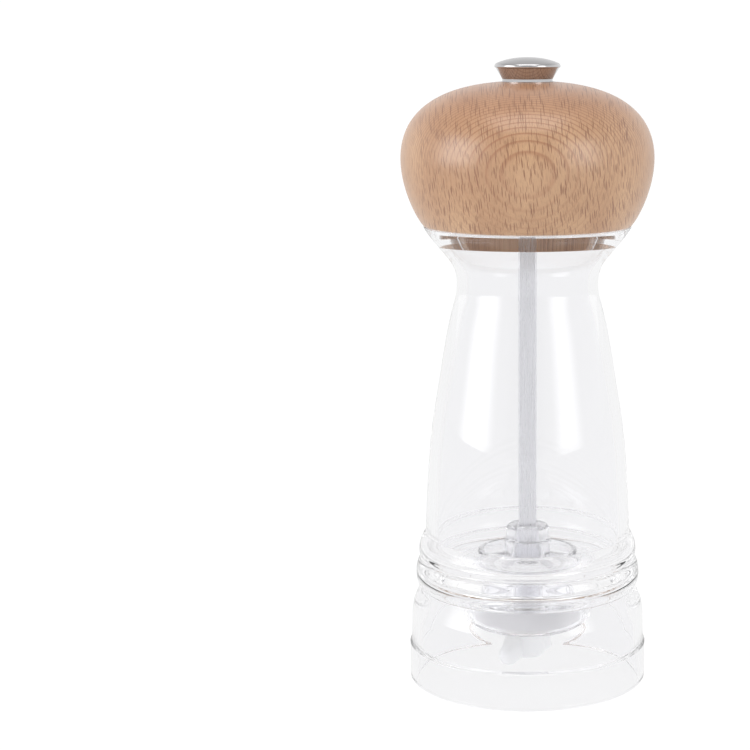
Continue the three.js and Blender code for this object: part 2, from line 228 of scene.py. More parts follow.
def metalMaterial(name, colour, roughness, strength, fineness=9.0, roundLines=False):
    material, tree, shader, point = newMaterial(name, colour)
    shader.inputs["Metallic"].default_value = 1.0
    brush = placeGroup(tree, fineBrush, **{
        "Point": point, "Round": float(roundLines), "Fineness": fineness,
        "Strength": strength, "Base Roughness": roughness})
    shaded = mixColour(tree, 1.0, colour, brush.outputs["Shade"], blend="MULTIPLY")
    tree.links.new(shaded, shader.inputs["Base Color"])
    tree.links.new(brush.outputs["Roughness"], shader.inputs["Roughness"])
    tree.links.new(brush.outputs["Normal"], shader.inputs["Normal"])
    return material


def srgb(red, green, blue):
    linear = [c / 12.92 if c <= 0.04045 else ((c + 0.055) / 1.055) ** 2.4
              for c in (red / 255, green / 255, blue / 255)]
    return (*linear, 1.0)


# beech: flat growth layers across Y, fibres along Z, ray flecks that stand edge-on to the front
beechLook = {"ringGap": 0.97, "ringStart": 34.95, "ringTilt": 0.064, "fleckLean": 6.0,
             # width and height of a fleck's cell, its share of it, how deep a ray runs, how dark it is
             "flecks": ((0.6, 8.4, 0.17, 9, 1.0), (0.55, 5.6, 0.18, 7, 0.75), (0.5, 4.2, 0.2, 5, 0.35))}


def beechMaterial(name):
    look = beechLook
    material, tree, shader, point = newMaterial(name, srgb(205, 166, 130))
    wander = addNode(tree, "ShaderNodeTexNoise", {
        "Vector": stretched(tree, point, (0.05, 0.05, 0.02)), "Scale": 1.0, "Detail": 2.0}).outputs["Fac"]
    sides = addNode(tree, "ShaderNodeSeparateXYZ", {0: point}).outputs
    depth, height = sides["Y"], sides["Z"]
    tilted = mathNode(tree, "ADD", depth, mathNode(tree, "MULTIPLY", mathNode(
        tree, "SUBTRACT", height, 147 * mm), look["ringTilt"]))
    layer = mathNode(tree, "DIVIDE", mathNode(tree, "ADD", tilted, look["ringStart"] * mm),
                     look["ringGap"] * mm)
    layer = mathNode(tree, "ADD", layer, mathNode(tree, "MULTIPLY", mathNode(
        tree, "SUBTRACT", wander, 0.5), 0.35))
    phase = mathNode(tree, "FRACT", layer)
    ring = mathNode(tree, "MULTIPLY", mapRange(tree, phase, 0.55, 0.86, smooth=True),
                    mapRange(tree, phase, 0.88, 1.0, 1.0, 0.0))

    fibre = addNode(tree, "ShaderNodeTexNoise", {
        "Vector": stretched(tree, point, (4.5, 3.0, 0.3)), "Scale": 1.0, "Detail": 4.0,
        "Roughness": 0.7}).outputs["Fac"]
    cloud = addNode(tree, "ShaderNodeTexNoise", {
        "Vector": stretched(tree, point, (0.09, 0.05, 0.03)), "Scale": 1.0, "Detail": 3.0}).outputs["Fac"]

    lean = Euler((0, math.radians(look["fleckLean"]), 0))
    leaning = addNode(tree, "ShaderNodeVectorRotate", {"Vector": point, "Rotation": lean},
                      rotation_type="EULER_XYZ").outputs[0]
    across = addNode(tree, "ShaderNodeSeparateXYZ", {0: leaning}).outputs
    fleck = 0.0
    for wide, tall, size, depthOfRay, strength in look["flecks"]:
        x = mathNode(tree, "ADD", mathNode(tree, "DIVIDE", across["X"], wide * mm), tall * 30)
        z = mathNode(tree, "DIVIDE", across["Z"], tall * mm)
        flat = addNode(tree, "ShaderNodeCombineXYZ", {"X": x, "Y": z}).outputs[0]
        cells = addNode(tree, "ShaderNodeTexVoronoi", {"Vector": flat, "Scale": 1.0, "Randomness": 1.0},
                        voronoi_dimensions="2D", feature="F1")
        # each ray runs only a little way into the wood before another takes over
        own = mathNode(tree, "MULTIPLY", addNode(tree, "ShaderNodeSeparateColor", {
            0: cells.outputs["Color"]}).outputs[0], 61.0)
        along = mathNode(tree, "ADD", mathNode(tree, "DIVIDE", depth, depthOfRay * mm), own)
        gate = addNode(tree, "ShaderNodeTexNoise", {"W": along, "Scale": 1.0, "Detail": 0.0},
                       noise_dimensions="1D").outputs["Fac"]
        reach = mapRange(tree, gate, 0.3, 0.55, size * 0.25, size * 1.15)
        edge = mathNode(tree, "SUBTRACT", reach, cells.outputs["Distance"])
        mark = mathNode(tree, "MULTIPLY", mapRange(tree, edge, -0.01, 0.04), strength)
        fleck = mathNode(tree, "MAXIMUM", mark, fleck)
    # the rays are cut lengthwise on both flanks of the head, and fade there
    flank = mapRange(tree, mathNode(tree, "ABSOLUTE", sides["X"]), 25 * mm, 33 * mm, 1.0, 0.3, smooth=True)
    fleck = mathNode(tree, "MULTIPLY", fleck, flank)

    ground = mixColour(tree, mapRange(tree, cloud, 0.3, 0.7), srgb(181, 137, 100), srgb(201, 160, 122))
    upper = mapRange(tree, height, 152 * mm, 168 * mm, smooth=True)
    ground = mixColour(tree, mathNode(tree, "MULTIPLY", upper, 0.5), ground, srgb(184, 128, 94))
    plain = mapRange(tree, height, 136 * mm, 158 * mm, 0.2, 0.68, smooth=True)
    ringed = mixColour(tree, mathNode(tree, "MULTIPLY", ring, plain), ground, srgb(158, 102, 70))
    streak = mapRange(tree, fibre, 0.3, 0.72, 0.86, 1.1)
    streaked = mixColour(tree, 1.0, ringed, streak, blend="MULTIPLY")
    flecked = mixColour(tree, mathNode(tree, "MULTIPLY", fleck, 0.9), streaked, srgb(134, 88, 60))
    tree.links.new(flecked, shader.inputs["Base Color"])

    relief = mathNode(tree, "SUBTRACT", mathNode(tree, "MULTIPLY", fibre, 0.02),
                      mathNode(tree, "MULTIPLY", fleck, 0.015))
    bump = addNode(tree, "ShaderNodeBump", {"Strength": 0.6, "Distance": mm, "Height": relief})
    tree.links.new(bump.outputs["Normal"], shader.inputs["Normal"])
    tree.links.new(mapRange(tree, fibre, 0.3, 0.7, 0.40, 0.52), shader.inputs["Roughness"])
    shader.inputs["Coat Weight"].default_value = 0.5
    shader.inputs["Coat IOR"].default_value = 1.8
    shader.inputs["Coat Roughness"].default_value = 0.25
    return material


# turned steel: mirror-bright all over but for a brushed dome on top
def knobMaterial(name):
    colour = srgb(200, 199, 200)
    material, tree, shader, point = newMaterial(name, colour)
    shader.inputs["Metallic"].default_value = 1.0
    brush = placeGroup(tree, fineBrush, **{
        "Point": point, "Round": 1.0, "Fineness": 6.0, "Strength": 0.35, "Base Roughness": 0.3})
    height = addNode(tree, "ShaderNodeSeparateXYZ", {0: point}).outputs["Z"]
    dome = mapRange(tree, height, 172.3 * mm, 172.8 * mm, smooth=True)
    rough = mathNode(tree, "ADD", mathNode(tree, "MULTIPLY", brush.outputs["Roughness"], dome), 0.05)
    shaded = mixColour(tree, 1.0, colour, brush.outputs["Shade"], blend="MULTIPLY")
    tree.links.new(mixColour(tree, dome, colour, shaded), shader.inputs["Base Color"])
    tree.links.new(rough, shader.inputs["Roughness"])
    return material


acrylic = clearMaterial("clearAcrylic", srgb(252, 252, 253), 0.012, 0.004)
clearPlastic = clearMaterial("clearPlastic", srgb(253, 253, 254), 0.05, 0.006, ior=1.5, clear=0.94)
milkyPlastic = clearMaterial("milkyPlastic", srgb(253, 253, 254), 0.12, 0.006, ior=1.5, clear=0.85)
ceramic = mouldedMaterial("firedCeramic", srgb(250, 249, 247), srgb(242, 241, 238), 0.38, 0.25)
whitePlastic = mouldedMaterial("whitePlastic", srgb(250, 250, 251), srgb(243, 244, 246), 0.34, 0.4,
                               coat=0.15)
aluminium = metalMaterial("drawnAluminium", srgb(226, 226, 229), 0.30, 0.55, fineness=7.0)
steel = metalMaterial("rolledSteel", srgb(198, 196, 193), 0.32, 0.4)
springSteel = metalMaterial("springSteel", srgb(78, 75, 72), 0.34, 0.2)
brass = metalMaterial("turnedBrass", srgb(214, 180, 112), 0.28, 0.3, roundLines=True)
polishedSteel = knobMaterial("polishedSteel")
beech = beechMaterial("oiledBeech")
print("finishes made:", len(bpy.data.materials))


# ---- meshes

# one corner rounded off by an arc that touches both sides
def roundedCorner(before, corner, after, radius):
    a, b = (before - corner), (after - corner)
    angle = a.angle(b)
    if angle > math.radians(165) or radius <= 0:
        return [corner]
    reach = min(radius / math.tan(angle / 2), a.length * 0.45, b.length * 0.45)
    start, end = corner + a.normalized() * reach, corner + b.normalized() * reach
    return [start.lerp(corner, t).lerp(corner.lerp(end, t), t) for t in (0, 0.2, 0.4, 0.6, 0.8, 1)]


# (x, y) is a straight side, ((cx, cy), (x, y)) a quadratic and three pairs a cubic stretch
def outline(stops, corner=0.15, steps=14, closed=True):
    path, soft = [], []
    for stop in stops:
        if not isinstance(stop[0], tuple):
            path.append(Vector(stop))
            soft.append(True)
            continue
        start = path[-1]
        handles = [Vector(p) for p in stop]
        for i in range(1, steps + 1):
            t = i / steps
            line = [start, *handles]
            while len(line) > 1:
                line = [p.lerp(q, t) for p, q in zip(line, line[1:])]
            path.append(line[0])
            soft.append(i == steps)
    if closed and (path[0] - path[-1]).length < 1e-5:
        path.pop()
        soft.pop()
    done = []
    for i, point in enumerate(path):
        atEnd = not closed and i in (0, len(path) - 1)
        onAxis = abs(point.x) < 1e-6
        if atEnd or onAxis or not soft[i]:
            done.append(point)
        else:
            done += roundedCorner(path[i - 1], point, path[(i + 1) % len(path)], corner)
    return done


def newPiece(name, mesh, material):
    piece = bpy.data.objects.new(name, mesh)
    scene.collection.objects.link(piece)
    mesh.materials.clear()
    mesh.materials.append(material)
    return piece


# triangles turned outwards, smooth but for real edges
def finishMesh(built, name, sharpAngle=32, outwards=True):
    bmesh.ops.remove_doubles(built, verts=built.verts, dist=1e-7)
    if outwards:
        bmesh.ops.recalc_face_normals(built, faces=built.faces)
    mesh = bpy.data.meshes.new(name)
    built.to_mesh(mesh)
    built.free()
    mesh.shade_smooth()
    mesh.set_sharp_from_angle(angle=math.radians(sharpAngle))
    return mesh


# a profile of (r, z) points spun about Z; shape(angle, r, z) may move r for teeth or a thread
def lathe(name, profile, material, segments=128, shape=None, closed=True, sharpAngle=32):
    built = bmesh.new()
    rings = []
    for r, z in profile:
        if r < 1e-6:
            rings.append([built.verts.new((0, 0, z * mm))])
            continue
        ring = []
        for i in range(segments):
            angle = turn * i / segments
            reach = shape(angle, r, z) if shape else r
            ring.append(built.verts.new((reach * math.cos(angle) * mm, reach * math.sin(angle) * mm, z * mm)))
        rings.append(ring)
    pairs = list(zip(rings, rings[1:]))
    if closed and len(rings[0]) > 1 and len(rings[-1]) > 1:
        pairs.append((rings[-1], rings[0]))
    for low, high in pairs:
        for i in range(segments):
            j = (i + 1) % segments
            corners = [low[i % len(low)], low[j % len(low)], high[j % len(high)], high[i % len(high)]]
            corners = list(dict.fromkeys(corners))
            if len(corners) > 2:
                built.faces.new(corners)
    return newPiece(name, finishMesh(built, name, sharpAngle), material)


# a flat outline raised from one height to another, with small bevels at both ends
def prism(name, side, low, high, material, bevel=0.12):
    built = bmesh.new()
    layers = []
    for z, inset in ((low, bevel), (low + bevel, 0), (high - bevel, 0), (high, bevel)):
        ring = []
        for p in side:
            reach = max(p.length - inset, 0.01) / p.length
            ring.append(built.verts.new((p.x * reach * mm, p.y * reach * mm, z * mm)))
        layers.append(ring)
    count = len(side)
    for lower, upper in zip(layers, layers[1:]):
        for i in range(count):
            j = (i + 1) % count
            built.faces.new([lower[i], lower[j], upper[j], upper[i]])
    built.faces.new(layers[0])
    built.faces.new(layers[-1])
    return newPiece(name, finishMesh(built, name), material)


def squareSide(width, corner):
    half = width / 2
    return outline([(half, -half), (half, half), (-half, half), (-half, -half)], corner=corner)


def boxMesh(name, centre, size, turned=0.0):
    built = bmesh.new()
    place = Matrix.Rotation(math.radians(turned), 4, "Z") @ Matrix.Translation(Vector(centre) * mm)
    bmesh.ops.create_cube(built, size=1.0, matrix=place @ Matrix.Diagonal((*[s * mm for s in size], 1)))
    mesh = bpy.data.meshes.new(name)
    built.to_mesh(mesh)
    built.free()
    tool = bpy.data.objects.new(name, mesh)
    scene.collection.objects.link(tool)
    return tool


# the tools are joined to the piece or cut from it, then thrown away
def carve(piece, tools, operation, sharpAngle=32, soften=0.0):
    for tool in tools:
        step = piece.modifiers.new("carve", "BOOLEAN")
        step.operation = operation
        step.solver = "EXACT"
        step.object = tool
    if soften:
        step = piece.modifiers.new("edges", "BEVEL")
        step.width = soften * mm
        step.segments = 3
        step.limit_method = "ANGLE"
        step.angle_limit = math.radians(40)
    applyModifiers(piece)
    for tool in tools:
        bpy.data.objects.remove(tool)
    piece.data.shade_smooth()
    piece.data.set_sharp_from_angle(angle=math.radians(sharpAngle))


def applyModifiers(piece):
    bpy.context.view_layer.update()
    seen = piece.evaluated_get(bpy.context.evaluated_depsgraph_get())
    mesh = bpy.data.meshes.new_from_object(seen)
    mesh.name = piece.name
    piece.modifiers.clear()
    piece.data = mesh


# several meshes under one name, each keeping its own shape
def merged(name, pieces):
    built = bmesh.new()
    for piece in pieces:
        built.from_mesh(piece.data)
    mesh = bpy.data.meshes.new(name)
    built.to_mesh(mesh)
    built.free()
    material = pieces[0].data.materials[0]
    for piece in pieces:
        bpy.data.objects.remove(piece)
    mesh.shade_smooth()
    mesh.set_sharp_from_angle(angle=math.radians(32))
    return newPiece(name, mesh, material)


def settle(piece, body, slot, *nodes):
    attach(piece, body)
    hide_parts(*nodes)


# ---- clear body

bodySizes = {"lugGate": (4.0, 6.2, 4.0), "lugGateAt": (18.0, 0.0, 17.4)}
bodyOutline = outline([
    (31.2, 0), (32.7, 0), ((33.5, 0), (33.5, 0.8)), (33.5, 10.2), (33.05, 10.5), (32.85, 18.5),
    ((32.85, 21.6), (31.6, 24.4), (30.3, 26.7)),
    ((32.1, 27.5), (32.0, 34.4), (30.0, 35.0)),
    ((31.3, 35.9), (30.8, 40.5), (28.9, 42.0)),
    ((27.7, 71.7), (26.85, 72.3), (24.0, 90.0)),
    ((20.9, 109.5), (19.64, 106.9), (19.64, 113.0)),
    ((19.64, 119.7), (24.7, 121.4), (28.8, 128.6)),
    (24.2, 128.6), (24.2, 133.5), (22.0, 133.5), (22.0, 125.0),
    ((19.0, 120.2), (16.84, 117.5), (16.84, 113.0)),
    ((16.84, 106.9), (18.1, 109.3), (21.2, 90.0)),
    ((24.05, 72.3), (24.9, 71.7), (26.0, 40.5)),
    ((26.0, 34.5), (21.5, 34.5)),
    (14.4, 34.5), (14.4, 31.3), (16.8, 31.3), (16.8, 16.0), (19.0, 16.0), (19.0, 28.8),
    ((19.0, 30.2), (20.4, 30.2)), (24.5, 30.2),
    ((27.6, 30.2), (29.4, 25.5), (29.9, 18.5)),
    (30.2, 10.5), (31.2, 9.5),
], corner=0.22, steps=18)
clearBody = lathe("clearBody", bodyOutline, acrylic, segments=224)
gateX, gateY, gateZ = bodySizes["lugGateAt"]
gates = [boxMesh("gate", (side * gateX, gateY, gateZ), bodySizes["lugGate"]) for side in (1, -1)]
carve(clearBody, gates, "DIFFERENCE")
settle(clearBody, "body", "acrylic", "body_shell")
print("clear body made")


# ---- grinder cup with its bridge and lugs

cupSizes = {"arm": (7.4, 3.2, 3.2), "armAt": 9.6, "armHeight": 34.4, "lug": (1.9, 5.0, 2.4),
            "lugAt": 17.2, "lugHeight": 17.3}
cupOutline = outline([
    (15.1, 15.6), (16.5, 15.6), (16.5, 31.0), (14.1, 31.0), (14.1, 36.0),
    ((14.1, 36.6), (13.4, 36.6)), (12.7, 36.6), (12.7, 26.2), (15.1, 26.2)], corner=0.2)
hubOutline = outline([(4.35, 32.4), (6.6, 32.4), (6.6, 39.9), (4.35, 39.9)], corner=0.5)
cup = lathe("grinderCup", cupOutline, clearPlastic, segments=120)
additions = [lathe("hub", hubOutline, clearPlastic, segments=72)]
for angle in (90, 210, 330):
    additions.append(boxMesh("arm", (cupSizes["armAt"], 0, cupSizes["armHeight"]), cupSizes["arm"], angle))
for angle in (0, 180):
    additions.append(boxMesh("lug", (cupSizes["lugAt"], 0, cupSizes["lugHeight"]), cupSizes["lug"], angle))
carve(cup, additions, "UNION", soften=0.18)
settle(cup, "body", "clear_plastic", "grinder_housing")
print("cup made")


# ---- grinding ring and cone

ringSizes = {"outside": 14.8, "teeth": 30, "depth": 0.7, "twist": 1.5, "low": 15.9}
coneSizes = {"teeth": 24, "depth": 0.7, "twist": 4.0, "low": 14.6}


# a leaning tooth, steep on one side and easy on the other
def toothWave(place):
    rise = place % 1.0
    return rise / 0.7 if rise < 0.7 else (1.0 - rise) / 0.3


def ringTeeth(angle, r, z):
    if r > ringSizes["outside"] - 1.2:
        return r
    lead = angle / turn * ringSizes["teeth"] + (z - ringSizes["low"]) * ringSizes["twist"] / 12
    return r + ringSizes["depth"] * (1 - toothWave(lead))


def coneTeeth(angle, r, z):
    if r < 6.25 or z < 14.9:
        return r
    lead = angle / turn * coneSizes["teeth"] + (z - coneSizes["low"]) * coneSizes["twist"] / 15
    return r - coneSizes["depth"] * (1 - toothWave(lead))


def stepped(path, gap):
    fine = []
    for a, b in zip(path, path[1:] + path[:1]):
        count = max(1, round((b - a).length / gap))
        fine += [a.lerp(b, i / count) for i in range(count)]
    return fine


ringOutline = stepped(outline([
    (14.8, 15.9), (14.8, 25.9), (12.2, 25.9), (10.8, 21.0), (10.6, 19.1), (11.9, 15.9)], corner=0.12), 0.5)
grindRing = lathe("grindRing", ringOutline, ceramic, segments=300, shape=ringTeeth, sharpAngle=38)
settle(grindRing, "body", "ceramic", "stator")

coneOutline = stepped(outline([
    (4.2, 15.9), (7.4, 15.9), (7.4, 14.6), (10.95, 14.6), (10.95, 15.9), (9.65, 19.1), (8.0, 21.6),
    (6.3, 24.2), (4.2, 24.2)], corner=0.12), 0.5)
grindCone = lathe("grindCone", coneOutline, ceramic, segments=240, shape=coneTeeth, sharpAngle=38)
settle(grindCone, "rotor", "ceramic", "rotor")
print("grinder made")


# ---- drive shaft, its sleeve, carrier, washers and spring

shaftSizes = {"width": 5.0, "low": 17.6, "high": 164.0, "stud": 2.0, "studTop": 171.8,
              "foot": 1.4, "footLow": 6.1, "threadDepth": 0.16, "topPitch": 0.7, "footPitch": 0.5}


def threadShape(pitch, depth, low, high):
    def shape(angle, r, z):
        if not low < z < high or r < 0.9:
            return r
        place = (z / pitch - angle / turn) % 1.0
        return r - depth * (1 - abs(2 * place - 1))
    return shape


def threadedStud(name, radius, low, high, pitch, material, chamfer=0.4):
    count = round((high - low) / pitch * 6)
    rows = [Vector((radius, low + chamfer + (high - low - 2 * chamfer) * i / count)) for i in range(count + 1)]
    path = [Vector((0, low)), Vector((radius - chamfer, low)), *rows,
            Vector((radius - chamfer, high)), Vector((0, high))]
    shape = threadShape(pitch, shaftSizes["threadDepth"], low + chamfer, high - chamfer)
    return lathe(name, path, material, segments=36, shape=shape, sharpAngle=60)


barSide = squareSide(shaftSizes["width"], 0.62)
bar = prism("bar", barSide, shaftSizes["low"], shaftSizes["high"], aluminium, bevel=0.3)
topStud = threadedStud("topStud", shaftSizes["stud"], shaftSizes["high"], shaftSizes["studTop"],
                       shaftSizes["topPitch"], aluminium)
footStud = threadedStud("footStud", shaftSizes["foot"], shaftSizes["footLow"], shaftSizes["low"],
                        shaftSizes["footPitch"], aluminium)
driveShaft = merged("driveShaft", [bar, topStud, footStud])
settle(driveShaft, "spindle", "aluminium", "spindle_rod")


def squareBore(width, low, high, corner=0.3):
    return prism("bore", squareSide(width, corner), low, high, steel, bevel=0.0)


sleeveOutline = outline([
    (0, 32.9), (4.0, 32.9), (4.0, 40.2), (6.0, 40.2), (6.0, 43.3), (5.3, 44.0), (0, 44.0)],
    corner=0.18, closed=False)
shaftSleeve = lathe("shaftSleeve", sleeveOutline, milkyPlastic, segments=96)
carve(shaftSleeve, [squareBore(5.6, 30, 47)], "DIFFERENCE")
settle(shaftSleeve, "spindle", "clear_plastic", "guide_sleeve")

carrierOutline = outline([
    (0, 15.9), (3.9, 15.9), (3.9, 24.5), (4.9, 24.5), (4.9, 25.1), (0, 25.1)], corner=0.1, closed=False)
coneCarrier = lathe("coneCarrier", carrierOutline, whitePlastic, segments=96)
carve(coneCarrier, [squareBore(5.6, 12, 28)], "DIFFERENCE")


def washer(name, inner, outer, low, high, material, corner=0.1):
    return lathe(name, outline([(inner, low), (outer, low), (outer, high), (inner, high)], corner=corner),
                 material, segments=80)


# inner radius, outer radius, underside and top
washerSizes = {"upper": (3.4, 5.4, 31.6, 32.1), "lower": (3.4, 4.9, 25.4, 25.8),
               "cap": (2.4, 6.2, 166.4, 167.2)}
upperWasher = washer("upperWasher", *washerSizes["upper"], steel)
settle(upperWasher, "spindle", "steel", "upper_spring_washer")
lowerWasher = washer("lowerWasher", *washerSizes["lower"], steel)
settle(lowerWasher, "rotor", "steel", "lower_spring_washer")
settle(coneCarrier, "rotor", "white_plastic", "rotor_carrier")
print("shaft made")


# ---- coil spring, wound along a path by geometry nodes

springSizes = {"radius": 3.75, "wire": 0.35, "low": 26.1, "high": 31.3, "turns": 4.0, "endTurns": 0.75}


def nodeTree(name, inputs):
    tree = bpy.data.node_groups.new(name, "GeometryNodeTree")
    tree.is_modifier = True
    keys = {}
    for label, kind, value in inputs:
        socket = tree.interface.new_socket(name=label, in_out="INPUT", socket_type=kind)
        keys[label] = socket.identifier
        if value is not None:
            socket.default_value = value
    tree.interface.new_socket(name="Geometry", in_out="OUTPUT", socket_type="NodeSocketGeometry")
    return tree, tree.nodes.new("NodeGroupInput"), tree.nodes.new("NodeGroupOutput"), keys


def shadedOutput(tree, shape, material, out):
    whole = addNode(tree, "GeometryNodeRealizeInstances", {"Geometry": shape})
    painted = addNode(tree, "GeometryNodeSetMaterial", {"Geometry": whole.outputs[0], "Material": material})
    tree.links.new(painted.outputs[0], out.inputs["Geometry"])


def coilTree():
    tree, given, out, keys = nodeTree("wireCoil", [
        ("Radius", "NodeSocketFloat", 0.00375), ("Wire", "NodeSocketFloat", 0.00035),
        ("Low", "NodeSocketFloat", 0.0), ("High", "NodeSocketFloat", 0.01),
        ("Turns", "NodeSocketFloat", 4.0), ("End Turns", "NodeSocketFloat", 0.75),
        ("Steps", "NodeSocketInt", 260), ("Material", "NodeSocketMaterial", None)])
    at = given.outputs
    wire, turns, ends = at["Wire"], at["Turns"], at["End Turns"]
    steps = addNode(tree, "GeometryNodeMeshLine", {"Count": at["Steps"]})
    index = addNode(tree, "GeometryNodeInputIndex").outputs[0]
    share = mathNode(tree, "DIVIDE", index, mathNode(tree, "SUBTRACT", at["Steps"], 1.0))
    done = mathNode(tree, "MULTIPLY", share, turns)
    angle = mathNode(tree, "MULTIPLY", done, turn)
    # closed turns at each end lie wire against wire, and the middle ones share what height is left
    closedPitch = mathNode(tree, "MULTIPLY", wire, 2.02)
    height = mathNode(tree, "SUBTRACT", mathNode(tree, "SUBTRACT", at["High"], at["Low"]),
                      mathNode(tree, "MULTIPLY", wire, 2.0))
    closedHeight = mathNode(tree, "MULTIPLY", mathNode(tree, "MULTIPLY", ends, 2.0), closedPitch)
    openTurns = mathNode(tree, "SUBTRACT", turns, mathNode(tree, "MULTIPLY", ends, 2.0))
    openPitch = mathNode(tree, "DIVIDE", mathNode(tree, "SUBTRACT", height, closedHeight), openTurns)
    first = mathNode(tree, "MULTIPLY", mathNode(tree, "MINIMUM", done, ends), closedPitch)
    past = mathNode(tree, "MAXIMUM", mathNode(tree, "SUBTRACT", done, ends), 0.0)
    middle = mathNode(tree, "MULTIPLY", mathNode(tree, "MINIMUM", past, openTurns), openPitch)
    left = mathNode(tree, "MAXIMUM", mathNode(tree, "SUBTRACT", past, openTurns), 0.0)
    last = mathNode(tree, "MULTIPLY", left, closedPitch)
    rise = mathNode(tree, "ADD", mathNode(tree, "ADD", first, middle), last)
    z = mathNode(tree, "ADD", mathNode(tree, "ADD", at["Low"], wire), rise)
    x = mathNode(tree, "MULTIPLY", mathNode(tree, "COSINE", angle), at["Radius"])
    y = mathNode(tree, "MULTIPLY", mathNode(tree, "SINE", angle), at["Radius"])
    place = addNode(tree, "ShaderNodeCombineXYZ", {"X": x, "Y": y, "Z": z})
    moved = addNode(tree, "GeometryNodeSetPosition", {"Geometry": steps.outputs[0], "Position": place.outputs[0]})
    path = addNode(tree, "GeometryNodeMeshToCurve", {"Mesh": moved.outputs[0]})
    section = addNode(tree, "GeometryNodeCurvePrimitiveCircle", {"Resolution": 14, "Radius": wire})
    tube = addNode(tree, "GeometryNodeCurveToMesh", {
        "Curve": path.outputs[0], "Profile Curve": section.outputs[0], "Fill Caps": True})
    shadedOutput(tree, tube.outputs[0], at["Material"], out)
    return tree, keys


def runTree(piece, tree, keys, values):
    step = piece.modifiers.new(tree.name, "NODES")
    step.node_group = tree
    for label, value in values.items():
        step[keys[label]] = value
    applyModifiers(piece)
    piece.data.shade_smooth()
    piece.data.set_sharp_from_angle(angle=math.radians(35))


coil, coilKeys = coilTree()
gripSpring = newPiece("gripSpring", bpy.data.meshes.new("gripSpring"), springSteel)
runTree(gripSpring, coil, coilKeys, {
    "Radius": springSizes["radius"] * mm, "Wire": springSizes["wire"] * mm,
    "Low": springSizes["low"] * mm, "High": springSizes["high"] * mm,
    "Turns": springSizes["turns"], "End Turns": springSizes["endTurns"], "Material": springSteel})
settle(gripSpring, "spindle", "spring_steel", "spring")
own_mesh(gripSpring)
print("spring made")


# ---- butterfly nut: a cone with two plump petals, blended at their roots

nutSizes = {"petal": (4.6, 2.35, 3.9), "petalAt": 8.2, "petalHeight": 8.9, "tilt": 12, "angle": 56,
            "bore": 2.5, "voxel": 0.22}


def petal(name, angle, material):
    size = nutSizes["petal"]
    built = bmesh.new()
    bmesh.ops.create_uvsphere(built, u_segments=48, v_segments=28, radius=1.0)
    for vert in built.verts:
        x, y, z = vert.co
        plump = 1.0 + 0.14 * x
        vert.co = Vector((x * size[0], y * size[1] * plump, z * size[2] * (1.0 - 0.05 * x))) * mm
    place = (Matrix.Rotation(math.radians(angle), 4, "Z")
             @ Matrix.Translation(Vector((nutSizes["petalAt"], 0, nutSizes["petalHeight"])) * mm)
             @ Matrix.Rotation(math.radians(nutSizes["tilt"]), 4, "Y"))
    built.transform(place)
    return newPiece(name, finishMesh(built, name), material)


nutOutline = outline([
    (0, 6.0), (3.9, 6.0), (4.5, 6.6), (5.2, 11.0), (6.5, 14.4), (6.5, 15.55), (0, 15.55)],
    corner=0.5, closed=False)
nut = lathe("butterflyNut", nutOutline, whitePlastic, segments=96)
carve(nut, [petal("petal", nutSizes["angle"] + turned, whitePlastic) for turned in (0, 180)], "UNION")
blend = nut.modifiers.new("blend", "REMESH")
blend.mode, blend.voxel_size = "VOXEL", nutSizes["voxel"] * mm
ease = nut.modifiers.new("ease", "SMOOTH")
ease.factor, ease.iterations = 0.5, 5
applyModifiers(nut)
boreOutline = outline([(0, 4), (nutSizes["bore"], 4), (nutSizes["bore"], 18), (0, 18)], corner=0, closed=False)
nutBore = lathe("bore", boreOutline, whitePlastic, 64)
carve(nut, [nutBore], "DIFFERENCE", sharpAngle=40)
nut.data.materials.clear()
nut.data.materials.append(whitePlastic)
settle(nut, "adjuster", "white_plastic", "adjuster_knob")
nutBush = lathe("nutBush", outline([(1.7, 6.2), (2.2, 6.2), (2.2, 15.4), (1.7, 15.4)], corner=0.08), steel, 64)
settle(nutBush, "adjuster", "steel", "adjuster_insert")
print("butterfly nut made")


# ---- turned head with its drive plate and screws

headSizes = {"screwCircle": 8.6, "screwAngle": 30.0, "pilot": 1.6, "pilotTop": 146.6}
headOutline = outline([
    (28.7, 128.9), ((31.0, 131.5), (34.75, 139.5), (34.75, 147.0)),
    ((34.75, 160.7), (23.1, 166.7), (7.6, 167.8)),
    (7.2, 167.7), (7.2, 166.1), (3.7, 166.1), (3.7, 140.0), (21.6, 140.0), (21.6, 134.0),
    (24.6, 134.0), (24.6, 128.9)], corner=0.35, steps=40)
woodHead = lathe("woodHead", headOutline, beech, segments=224)


def screwSpots():
    for i in range(3):
        angle = math.radians(headSizes["screwAngle"] + 120 * i)
        yield headSizes["screwCircle"] * math.cos(angle), headSizes["screwCircle"] * math.sin(angle)


def drills(radius, low, high, material):
    tools = []
    for x, y in screwSpots():
        tool = lathe("drill", [Vector(p) for p in ((0, low), (radius, low), (radius, high), (0, high))],
                     material, 32)
        tool.data.transform(Matrix.Translation(Vector((x, y, 0)) * mm))
        tools.append(tool)
    return tools


carve(woodHead, drills(headSizes["pilot"], 139.0, headSizes["pilotTop"], beech), "DIFFERENCE")
settle(woodHead, "head", "beech", "wood_head")

plateOutline = outline([(0, 138.5), (12.0, 138.5), (12.0, 139.7), (0, 139.7)], corner=0.15, closed=False)
drivePlate = lathe("drivePlate", plateOutline, steel, segments=128)
carve(drivePlate, [squareBore(5.6, 137, 141), *drills(headSizes["pilot"], 137, 141, steel)], "DIFFERENCE")
settle(drivePlate, "head", "steel", "drive_plate")


